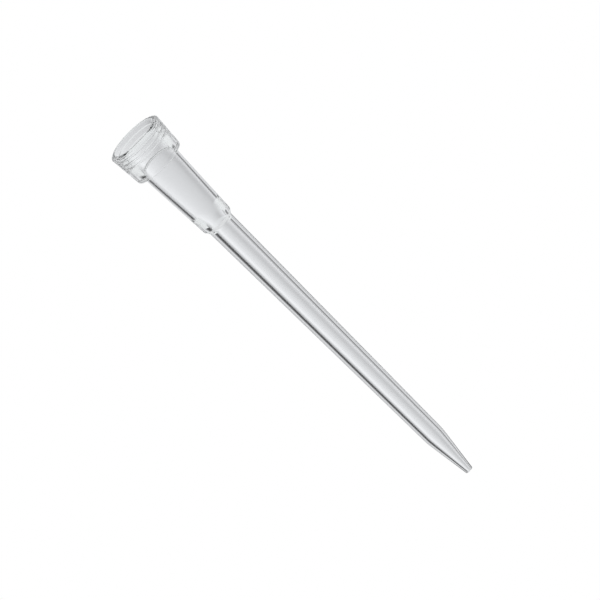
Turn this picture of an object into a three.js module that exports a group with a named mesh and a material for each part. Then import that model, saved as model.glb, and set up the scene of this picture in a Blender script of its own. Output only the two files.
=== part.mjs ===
// A clear pipette tip, moulded as one hollow piece of revolution.
// It stands on its mouth: z = 0 is the flat rim, +Z is the axis and the fine outlet is at the top.
// All sizes are in millimetres.

import * as THREE from "three";

// Heights of the stages, from the rim up
const collarHeight = 3.55;
const hubHeight = 7.83;
const shoulderHeight = 0.45;
const shaftHeight = 29.55;
const noseHeight = 4.8;

// Bores, as diameters
const mouthBore = 4.92;
const funnelEndBore = 3.65;
const socketEndBore = 2.88;
const channelStartBore = 1.78;
const channelEndBore = 1.34;
const outletBore = 0.38;

// The mouth is a funnel, and the socket that takes the pipette's nose follows it
const funnelHeight = 3.0;

// The socket ends below the shoulder, and the throat leads from it into the channel
const socketSetback = 1.78;
const throatHeight = 2.48;

// The rim stands on a flat ring, and slopes up from it towards the collar
const rimFlatWidth = 0.18;
const rimSlopeHeight = 0.16;

// Walls, measured across the axis
const rimWall = 0.5;
const hubStartWall = 0.285;
const hubEndWall = 0.26;
const channelStartWall = 0.505;
const channelEndWall = 0.375;
const outletWall = 0.21;

// The collar stands out from the hub by this much, which leaves the ledge that the tip hangs by in a rack
const ledgeWidth = 0.62;

// Rounds on the outside, then in the bore
const rimFlatRound = 0.15;
const rimRound = 0.15;
const ledgeRound = 0.14;
const ledgeRootRound = 0.1;
const hubEndRound = 0.2;
const shoulderRootRound = 0.2;
const noseRootRound = 8;
const outletRound = 0.05;
const mouthRound = 0.05;
const funnelEndRound = 4;
const throatStartRound = 0.3;
const throatEndRound = 0.15;
const channelEndRound = 8;

// Sealing rings on the funnel wall, near the mouth
const sealRings = 3;
const firstSealRing = 0.62;
const sealRingPitch = 0.51;
const sealRingWidth = 0.24;
const sealRingRise = 0.07;

// Fineness of the facets
const segmentsAround = 48;
const stepsAcrossRing = 4;
const arcStep = THREE.MathUtils.degToRad(24);
const leastArcSteps = 2;

// A round takes at most this share of each side of its corner
const roundReach = 0.45;

// Heights and radii that follow from them
const hubEnd = collarHeight + hubHeight;
const shaftStart = hubEnd + shoulderHeight;
const shaftEnd = shaftStart + shaftHeight;
const outletHeight = shaftEnd + noseHeight;
const socketEnd = hubEnd - socketSetback;
const channelStart = socketEnd + throatHeight;

const mouthRadius = mouthBore / 2;
const funnelEndRadius = funnelEndBore / 2;
const socketEndRadius = socketEndBore / 2;
const hubStartRadius = boreRadiusAt(collarHeight) + hubStartWall;

// The bore's radius in the funnel, and in the socket beyond it
function boreRadiusAt(z) {
  return z < funnelHeight
    ? THREE.MathUtils.mapLinear(z, 0, funnelHeight, mouthRadius, funnelEndRadius)
    : THREE.MathUtils.mapLinear(z, funnelHeight, socketEnd, funnelEndRadius, socketEndRadius);
}

function corner(radius, z, round = 0) {
  return { at: new THREE.Vector2(radius, z), round };
}

// One ring's bulge across the funnel wall, walked from its upper to its lower side
function sealRingCorners(centre) {
  return Array.from({ length: stepsAcrossRing + 1 }, (_, step) => {
    const turn = (Math.PI * step) / stepsAcrossRing;
    const z = centre + (sealRingWidth / 2) * Math.cos(turn);
    return corner(boreRadiusAt(z) - sealRingRise * Math.sin(turn), z);
  });
}

function outsideCorners() {
  return [
    corner(mouthRadius + rimFlatWidth, 0, rimFlatRound),
    corner(mouthRadius + rimWall, rimSlopeHeight, rimRound),
    corner(hubStartRadius + ledgeWidth, collarHeight, ledgeRound),
    corner(hubStartRadius, collarHeight, ledgeRootRound),
    corner(socketEndRadius + hubEndWall, hubEnd, hubEndRound),
    corner(channelStartBore / 2 + channelStartWall, shaftStart, shoulderRootRound),
    corner(channelEndBore / 2 + channelEndWall, shaftEnd, noseRootRound),
    corner(outletBore / 2 + outletWall, outletHeight, outletRound),
  ];
}

function boreCorners() {
  const ringsFromTop = Array.from(
    { length: sealRings },
    (_, ring) => firstSealRing + (sealRings - 1 - ring) * sealRingPitch,
  );
  return [
    corner(outletBore / 2, outletHeight, outletRound),
    corner(channelEndBore / 2, shaftEnd, channelEndRound),
    corner(channelStartBore / 2, channelStart, throatEndRound),
    corner(socketEndRadius, socketEnd, throatStartRound),
    corner(funnelEndRadius, funnelHeight, funnelEndRound),
    ...ringsFromTop.flatMap(sealRingCorners),
    corner(mouthRadius, 0, mouthRound),
  ];
}

// The points of one corner: itself, or an arc that meets both of its sides smoothly
function pointsOf({ at, round }, index, corners) {
  if (!round) return [at];
  const toBefore = corners.at(index - 1).at.clone().sub(at);
  const toAfter = corners[(index + 1) % corners.length].at.clone().sub(at);
  const halfAngle = toBefore.angleTo(toAfter) / 2;
  const shorterSide = Math.min(toBefore.length(), toAfter.length());
  const setback = Math.min(round / Math.tan(halfAngle), shorterSide * roundReach);
  const arcTurn = (Math.PI - 2 * halfAngle) * Math.sign(toBefore.cross(toAfter));
  const steps = Math.max(leastArcSteps, Math.round(Math.abs(arcTurn) / arcStep));

  toBefore.normalize();
  toAfter.normalize();
  const towardsCentre = toBefore.clone().add(toAfter).normalize();
  const centre = at.clone().addScaledVector(towardsCentre, setback / Math.cos(halfAngle));
  const start = at.clone().addScaledVector(toBefore, setback);
  return Array.from({ length: steps + 1 }, (_, step) =>
    start.clone().rotateAround(centre, (-arcTurn * step) / steps),
  );
}

function pipetteTip() {
  const outline = [...outsideCorners(), ...boreCorners()].flatMap(pointsOf);
  outline.push(outline[0].clone());
  const clearPlastic = new THREE.MeshStandardMaterial({
    color: 0xdde4e3,
    roughness: 0.08,
    metalness: 0,
    transparent: true,
    opacity: 0.35,
  });
  const tip = new THREE.Mesh(new THREE.LatheGeometry(outline, segmentsAround), clearPlastic);
  tip.name = "pipette_tip";
  tip.rotation.x = Math.PI / 2; // turns the lathe's axis from +Y to +Z
  return tip;
}

const part = new THREE.Group();
part.add(pipetteTip());

export default part;
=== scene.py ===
# A clear pipette tip that stands on its mouth, moulded as one hollow piece of revolution.
import math

import bpy
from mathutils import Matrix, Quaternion, Vector


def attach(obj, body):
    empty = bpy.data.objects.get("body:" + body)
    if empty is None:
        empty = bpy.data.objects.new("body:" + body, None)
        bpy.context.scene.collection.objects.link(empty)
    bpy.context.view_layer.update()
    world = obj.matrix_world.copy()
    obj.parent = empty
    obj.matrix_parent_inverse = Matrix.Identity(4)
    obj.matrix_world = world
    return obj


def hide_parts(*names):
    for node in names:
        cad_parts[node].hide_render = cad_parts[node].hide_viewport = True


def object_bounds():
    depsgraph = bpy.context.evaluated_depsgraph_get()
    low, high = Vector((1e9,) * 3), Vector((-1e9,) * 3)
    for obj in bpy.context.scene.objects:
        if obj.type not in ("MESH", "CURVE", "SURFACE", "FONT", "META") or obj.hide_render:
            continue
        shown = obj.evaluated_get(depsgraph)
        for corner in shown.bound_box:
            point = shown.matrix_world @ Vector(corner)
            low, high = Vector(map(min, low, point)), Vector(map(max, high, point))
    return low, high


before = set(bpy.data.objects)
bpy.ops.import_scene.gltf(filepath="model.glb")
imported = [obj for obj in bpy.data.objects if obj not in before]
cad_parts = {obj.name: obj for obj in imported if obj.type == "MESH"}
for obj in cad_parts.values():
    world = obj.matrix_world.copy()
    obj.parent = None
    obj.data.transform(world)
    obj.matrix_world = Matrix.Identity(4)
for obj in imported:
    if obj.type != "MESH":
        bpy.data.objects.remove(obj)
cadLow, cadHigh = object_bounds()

mm = 0.001  # the shape below is written in millimetres
halfTurn = 180  # degrees

tip = {
    # heights of the stages, from the rim up
    "collarHeight": 3.55,
    "hubHeight": 7.83,
    "shoulderHeight": 0.45,
    "shaftHeight": 29.55,
    # radii of the bore
    "mouthRadius": 2.46,
    "funnelEndRadius": 1.825,
    "socketEndRadius": 1.44,
    "channelStartRadius": 0.89,
    "channelEndRadius": 0.67,
    "outletRadius": 0.19,
    # heights that only the bore has
    "funnelHeight": 3.0,
    "socketSetback": 1.78,
    "throatHeight": 2.48,
    # the flat ring that the tip stands on, and the slope outside it
    "rimFlatWidth": 0.18,
    "rimSlopeHeight": 0.16,
    # walls, measured across the axis
    "rimWall": 0.499,  # a hair less than the solid's, so that the piece stays inside its box
    "hubStartWall": 0.285,
    "hubEndWall": 0.26,
    "channelStartWall": 0.505,
    "channelEndWall": 0.375,
    "outletWall": 0.21,
    "ledgeWidth": 0.62,
    # rounds, outside and then in the bore
    "rimFlatRound": 0.15,
    "rimRound": 0.15,
    "ledgeRound": 0.14,
    "ledgeRootRound": 0.1,
    "hubEndRound": 0.2,
    "shoulderRootRound": 0.2,
    "noseRootRound": 8,
    "outletRound": 0.05,
    "mouthRound": 0.05,
    "funnelEndRound": 4,
    "throatStartRound": 0.3,
    "throatEndRound": 0.15,
    "channelEndRound": 8,
    "roundReach": 0.45,  # the most of a side that one round takes
    # sealing rings on the funnel wall
    "sealRings": 3,
    "firstSealRing": 0.62,
    "sealRingPitch": 0.51,
    "sealRingWidth": 0.24,
    "sealRingRise": 0.07,
    # fineness of the mesh
    "stepsAround": 384,
    "stepsAcrossRing": 10,
    "leastRoundSteps": 4,
    "degreesPerStep": 8,
    "roundProfile": 0.5,
    "sharpAbove": 28,  # degrees between faces
    "largeFaceWeight": 100,
    "ringTolerance": 0.002,
}
tip["outletHeight"] = cadHigh[2] / mm
tip["hubEnd"] = tip["collarHeight"] + tip["hubHeight"]
tip["shaftStart"] = tip["hubEnd"] + tip["shoulderHeight"]
tip["shaftEnd"] = tip["shaftStart"] + tip["shaftHeight"]
tip["socketEnd"] = tip["hubEnd"] - tip["socketSetback"]
tip["channelStart"] = tip["socketEnd"] + tip["throatHeight"]


def boreRadiusAt(height):
    if height < tip["funnelHeight"]:
        low, lowRadius = 0, tip["mouthRadius"]
        high, highRadius = tip["funnelHeight"], tip["funnelEndRadius"]
    else:
        low, lowRadius = tip["funnelHeight"], tip["funnelEndRadius"]
        high, highRadius = tip["socketEnd"], tip["socketEndRadius"]
    return lowRadius + (highRadius - lowRadius) * (height - low) / (high - low)


# One ring's bulge across the funnel wall, walked from its upper to its lower side
def sealRingCorners(centre):
    corners = []
    for step in range(tip["stepsAcrossRing"] + 1):
        turn = math.pi * step / tip["stepsAcrossRing"]
        height = centre + tip["sealRingWidth"] / 2 * math.cos(turn)
        corners.append((boreRadiusAt(height) - tip["sealRingRise"] * math.sin(turn), height, 0))
    return corners


# Each corner is (radius, height, round), first up the outside and then down the bore
def tipCorners():
    hubRadius = boreRadiusAt(tip["collarHeight"]) + tip["hubStartWall"]
    shaftStartRadius = tip["channelStartRadius"] + tip["channelStartWall"]
    shaftEndRadius = tip["channelEndRadius"] + tip["channelEndWall"]
    corners = [
        (tip["mouthRadius"] + tip["rimFlatWidth"], 0, tip["rimFlatRound"]),
        (tip["mouthRadius"] + tip["rimWall"], tip["rimSlopeHeight"], tip["rimRound"]),
        (hubRadius + tip["ledgeWidth"], tip["collarHeight"], tip["ledgeRound"]),
        (hubRadius, tip["collarHeight"], tip["ledgeRootRound"]),
        (tip["socketEndRadius"] + tip["hubEndWall"], tip["hubEnd"], tip["hubEndRound"]),
        (shaftStartRadius, tip["shaftStart"], tip["shoulderRootRound"]),
        (shaftEndRadius, tip["shaftEnd"], tip["noseRootRound"]),
        (tip["outletRadius"] + tip["outletWall"], tip["outletHeight"], tip["outletRound"]),
        (tip["outletRadius"], tip["outletHeight"], tip["outletRound"]),
        (tip["channelEndRadius"], tip["shaftEnd"], tip["channelEndRound"]),
        (tip["channelStartRadius"], tip["channelStart"], tip["throatEndRound"]),
        (tip["socketEndRadius"], tip["socketEnd"], tip["throatStartRound"]),
        (tip["funnelEndRadius"], tip["funnelHeight"], tip["funnelEndRound"]),
    ]
    for ring in reversed(range(tip["sealRings"])):
        corners += sealRingCorners(tip["firstSealRing"] + ring * tip["sealRingPitch"])
    corners.append((tip["mouthRadius"], 0, tip["mouthRound"]))
    return corners


# Selects the edge loops that run round the tip at these corners, and leaves edit mode on
def selectRings(piece, corners):
    bpy.ops.object.mode_set(mode="EDIT")
    bpy.ops.mesh.select_mode(type="EDGE")
    bpy.ops.mesh.select_all(action="DESELECT")
    bpy.ops.object.mode_set(mode="OBJECT")
    tolerance = tip["ringTolerance"] * mm
    for radius, height, _ in corners:
        onRing = [
            abs(point.co.z - height * mm) < tolerance
            and abs(math.hypot(point.co.x, point.co.y) - radius * mm) < tolerance
            for point in piece.data.vertices
        ]
        for edge in piece.data.edges:
            if all(onRing[end] for end in edge.vertices):
                edge.select = True
    bpy.ops.object.mode_set(mode="EDIT")


# A round takes the same length of both sides of its corner
def roundCorner(piece, corners, index):
    radius, height, cornerRound = corners[index]
    at = Vector((radius, height))
    toBefore = Vector(corners[index - 1][:2]) - at
    toAfter = Vector(corners[(index + 1) % len(corners)][:2]) - at
    halfAngle = toBefore.angle(toAfter) / 2
    shorterSide = min(toBefore.length, toAfter.length)
    reach = min(cornerRound / math.tan(halfAngle), shorterSide * tip["roundReach"])
    turn = halfTurn - 2 * math.degrees(halfAngle)
    selectRings(piece, [corners[index]])
    bpy.ops.mesh.bevel(
        offset=reach * mm,
        offset_type="OFFSET",
        segments=max(tip["leastRoundSteps"], round(turn / tip["degreesPerStep"])),
        profile=tip["roundProfile"],
        affect="EDGES",
        clamp_overlap=False,
    )


def makeTip():
    bpy.ops.object.select_all(action="DESELECT")
    corners = tipCorners()
    radius, height, _ = corners[0]
    bpy.ops.mesh.primitive_circle_add(
        vertices=tip["stepsAround"],
        radius=radius * mm,
        location=(0, 0, height * mm),
        fill_type="NOTHING",
    )
    piece = bpy.context.object
    piece.name = "tip_body"
    bpy.ops.object.mode_set(mode="EDIT")
    bpy.ops.mesh.select_all(action="SELECT")
    for nextRadius, nextHeight, _ in corners[1:]:
        rise = (nextHeight - height) * mm
        spread = nextRadius / radius
        bpy.ops.mesh.extrude_region_move(TRANSFORM_OT_translate={"value": (0, 0, rise)})
        bpy.ops.transform.resize(value=(spread, spread, 1), center_override=(0, 0, nextHeight * mm))
        radius, height = nextRadius, nextHeight
    selectRings(piece, [corners[0], corners[-1]])
    bpy.ops.mesh.bridge_edge_loops()
    bpy.ops.mesh.select_all(action="SELECT")
    bpy.ops.mesh.normals_make_consistent(inside=False)
    for index, corner in enumerate(corners):
        if corner[2]:
            roundCorner(piece, corners, index)
    bpy.ops.object.mode_set(mode="OBJECT")
    bpy.ops.object.shade_smooth_by_angle(angle=math.radians(tip["sharpAbove"]))
    return piece


# Large faces meet small ones at every round, so the normals there lean on the large ones
def evenNormals(piece):
    even = piece.modifiers.new("even normals", "WEIGHTED_NORMAL")
    even.mode = "FACE_AREA"
    even.weight = tip["largeFaceWeight"]
    even.keep_sharp = True
    bpy.ops.object.modifier_apply(modifier=even.name)


# Adds a node, gives it its settings, and links or fills its inputs
def addNode(tree, kind, inputs=None, **settings):
    new = tree.nodes.new(kind)
    for name, value in settings.items():
        setattr(new, name, value)
    for name, value in (inputs or {}).items():
        if isinstance(value, bpy.types.NodeSocket):
            tree.links.new(value, new.inputs[name])
        else:
            new.inputs[name].default_value = value
    return new


# Mixes two colours: 0, 6, 7 and 2 are the Mix node's sockets for them
def addColourMix(tree, share, first, second):
    mix = addNode(tree, "ShaderNodeMix", {0: share, 6: first, 7: second}, data_type="RGBA")
    return mix.outputs[2]


plastic = {
    "clear": (0.988, 0.99, 0.992, 1),
    "milky": (0.975, 0.979, 0.981, 1),
    "clearRoughness": 0.008,
    "milkyRoughness": 0.03,
    "refraction": 1.49,
    "flowStretch": (700, 700, 55),  # flow marks per metre: narrow round the tip, long up its axis
    "flowDetail": 3,
    "flowDepth": 0.000004,
    "flowStrength": 0.25,
}


# Flow marks from moulding: a mask of faint streaks along the tip, and the normal they give
def flowMarks():
    group = bpy.data.node_groups.new("flow marks", "ShaderNodeTree")
    group.interface.new_socket("Vector", in_out="INPUT", socket_type="NodeSocketVector")
    group.interface.new_socket("Mask", in_out="OUTPUT", socket_type="NodeSocketFloat")
    group.interface.new_socket("Normal", in_out="OUTPUT", socket_type="NodeSocketVector")
    entry = addNode(group, "NodeGroupInput")
    stretched = addNode(
        group, "ShaderNodeMapping", {"Vector": entry.outputs["Vector"], "Scale": plastic["flowStretch"]}
    )
    streaks = addNode(
        group,
        "ShaderNodeTexNoise",
        {"Vector": stretched.outputs["Vector"], "Scale": 1, "Detail": plastic["flowDetail"]},
    )
    dent = addNode(
        group,
        "ShaderNodeBump",
        {
            "Height": streaks.outputs["Fac"],
            "Distance": plastic["flowDepth"],
            "Strength": plastic["flowStrength"],
        },
    )
    addNode(group, "NodeGroupOutput", {"Mask": streaks.outputs["Fac"], "Normal": dent.outputs["Normal"]})
    return group


def clearPlastic():
    material = bpy.data.materials.new("clear_plastic")
    material.use_nodes = True
    tree = material.node_tree
    place = addNode(tree, "ShaderNodeTexCoord").outputs["Object"]
    flow = addNode(tree, "ShaderNodeGroup", node_tree=flowMarks())
    tree.links.new(place, flow.inputs["Vector"])
    tint = addColourMix(tree, flow.outputs["Mask"], plastic["clear"], plastic["milky"])
    haze = addNode(
        tree,
        "ShaderNodeMapRange",
        {
            "Value": flow.outputs["Mask"],
            "To Min": plastic["clearRoughness"],
            "To Max": plastic["milkyRoughness"],
        },
    )
    shader = tree.nodes["Principled BSDF"]
    shader.inputs["IOR"].default_value = plastic["refraction"]
    shader.inputs["Transmission Weight"].default_value = 1
    tree.links.new(tint, shader.inputs["Base Color"])
    tree.links.new(haze.outputs["Result"], shader.inputs["Roughness"])
    tree.links.new(flow.outputs["Normal"], shader.inputs["Normal"])
    return material


studio = {
    # a ring of cards stands round the tip: each one's first edge, in degrees from straight behind
    # the tip towards -X, how many degrees that edge is soft over, and the card's brightness
    "cards": [
        (-90, 40, 0.04),
        (-29, 34, 0.94),
        (-2, 18, 0.52),
        (15, 14, 0.8),
        (36, 10, 0.2),
        (64, 18, 0.9),
    ],
    "cardTint": (0.985, 0.995, 1.015),
    # where the cards end and the sky begins, in degrees above level
    "cardTop": 25,
    "cardTopSoft": 6,
    "sky": (0.82, 0.84, 0.845, 1),
    "background": (1, 1, 1, 1),
    "floorColour": (0.77, 0.775, 0.78, 1),
    "floorRoughness": 0.6,
    "floorSize": 2,  # metres, like the drop that keeps the floor just under the rim
    "floorDrop": 0.00002,
}


# The ring of cards as a colour ramp. It runs once round the tip and meets itself straight in front.
def addCards(tree, axes):
    mirror = addNode(tree, "ShaderNodeMath", {0: axes.outputs["X"], 1: -1}, operation="MULTIPLY")
    turn = addNode(
        tree, "ShaderNodeMath", {0: mirror.outputs[0], 1: axes.outputs["Y"]}, operation="ARCTAN2"
    )
    share = addNode(
        tree,
        "ShaderNodeMapRange",
        {"Value": turn.outputs[0], "From Min": -math.pi, "From Max": math.pi},
    )
    ramp = addNode(tree, "ShaderNodeValToRGB", {"Fac": share.outputs["Result"]})

    last = studio["cards"][-1][2]
    levels = [(-halfTurn, last)]
    for edge, soft, level in studio["cards"]:
        levels += [(edge - soft / 2, last), (edge + soft / 2, level)]
        last = level
    levels.append((halfTurn, last))

    stops = ramp.color_ramp.elements
    for degrees, _ in levels[1:-1]:
        stops.new((degrees + halfTurn) / (2 * halfTurn))
    for stop, (degrees, level) in zip(stops, levels):
        stop.position = (degrees + halfTurn) / (2 * halfTurn)
        stop.color = (*(level * part for part in studio["cardTint"]), 1)
    return ramp.outputs["Color"]


# White to the camera and as diffuse light. Glossy and transmission rays meet the cards and the sky
# instead, which draw the edges of the clear plastic.
def lightStudio():
    world = bpy.data.worlds.new("studio")
    bpy.context.scene.world = world
    world.use_nodes = True
    tree = world.node_tree
    direction = addNode(tree, "ShaderNodeTexCoord").outputs["Generated"]
    axes = addNode(tree, "ShaderNodeSeparateXYZ", {"Vector": direction})
    elevation = addNode(tree, "ShaderNodeMath", {0: axes.outputs["Z"]}, operation="ARCSINE")
    above = addNode(
        tree,
        "ShaderNodeMapRange",
        {
            "Value": elevation.outputs[0],
            "From Min": math.radians(studio["cardTop"] - studio["cardTopSoft"] / 2),
            "From Max": math.radians(studio["cardTop"] + studio["cardTopSoft"] / 2),
        },
    )
    around = addColourMix(tree, above.outputs["Result"], addCards(tree, axes), studio["sky"])
    rays = addNode(tree, "ShaderNodeLightPath")
    plain = addNode(
        tree,
        "ShaderNodeMath",
        {0: rays.outputs["Is Camera Ray"], 1: rays.outputs["Is Diffuse Ray"]},
        operation="MAXIMUM",
    )
    seen = addColourMix(tree, plain.outputs[0], around, studio["background"])
    tree.links.new(seen, tree.nodes["Background"].inputs["Color"])


# The camera looks up from below the floor's level, so the floor is clear from behind
def makeFloor():
    bpy.ops.object.select_all(action="DESELECT")
    bpy.ops.mesh.primitive_plane_add(size=studio["floorSize"], location=(0, 0, -studio["floorDrop"]))
    floor = bpy.context.object
    floor.name = "floor"
    material = bpy.data.materials.new("floor")
    material.use_nodes = True
    tree = material.node_tree
    paint = tree.nodes["Principled BSDF"]
    paint.inputs["Base Color"].default_value = studio["floorColour"]
    paint.inputs["Roughness"].default_value = studio["floorRoughness"]
    clear = addNode(tree, "ShaderNodeBsdfTransparent")
    behind = addNode(tree, "ShaderNodeNewGeometry").outputs["Backfacing"]
    both = addNode(tree, "ShaderNodeMixShader", {0: behind, 1: paint.outputs[0], 2: clear.outputs[0]})
    tree.links.new(both.outputs[0], tree.nodes["Material Output"].inputs["Surface"])
    floor.data.materials.append(material)


view = {
    "elevation": -15.6,  # degrees: below level, so that the camera looks into the mouth
    "roll": 134.75,
    "aim": (-0.000160, 0, 0.02260),
    "frameWidth": 0.0564,  # what the frame spans at the tip, in metres
    "lens": 600,
    "sensor": 36,
    "nearest": 0.01,
    "farthest": 10,
}


def placeCamera():
    camera = bpy.data.objects.new("camera", bpy.data.cameras.new("camera"))
    bpy.context.scene.collection.objects.link(camera)
    camera.data.lens = view["lens"]
    camera.data.sensor_width = view["sensor"]
    camera.data.clip_start = view["nearest"]
    camera.data.clip_end = view["farthest"]
    elevation = math.radians(view["elevation"])
    towardsCamera = Vector((0, -math.cos(elevation), math.sin(elevation)))
    distance = view["frameWidth"] * view["lens"] / view["sensor"]
    camera.location = Vector(view["aim"]) + towardsCamera * distance
    camera.rotation_mode = "QUATERNION"
    level = (-towardsCamera).to_track_quat("-Z", "Y")
    camera.rotation_quaternion = level @ Quaternion((0, 0, 1), math.radians(view["roll"]))
    bpy.context.scene.camera = camera


# Clear plastic takes many bounces: light crosses several surfaces, and some turns back inside
bounces = {"all": 32, "glossy": 24, "transmission": 32, "clear": 16}


def allowBounces():
    cycles = bpy.context.scene.cycles
    cycles.max_bounces = bounces["all"]
    cycles.glossy_bounces = bounces["glossy"]
    cycles.transmission_bounces = bounces["transmission"]
    cycles.transparent_max_bounces = bounces["clear"]


bpy.context.scene.view_settings.view_transform = "Standard"
allowBounces()
placeCamera()
lightStudio()
makeFloor()
print("studio ready")

body = makeTip()
evenNormals(body)
body.data.materials.clear()
body.data.materials.append(clearPlastic())
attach(body, "root")
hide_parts("pipette_tip")
print("tip ready:", sum(len(face.vertices) - 2 for face in body.data.polygons), "triangles")
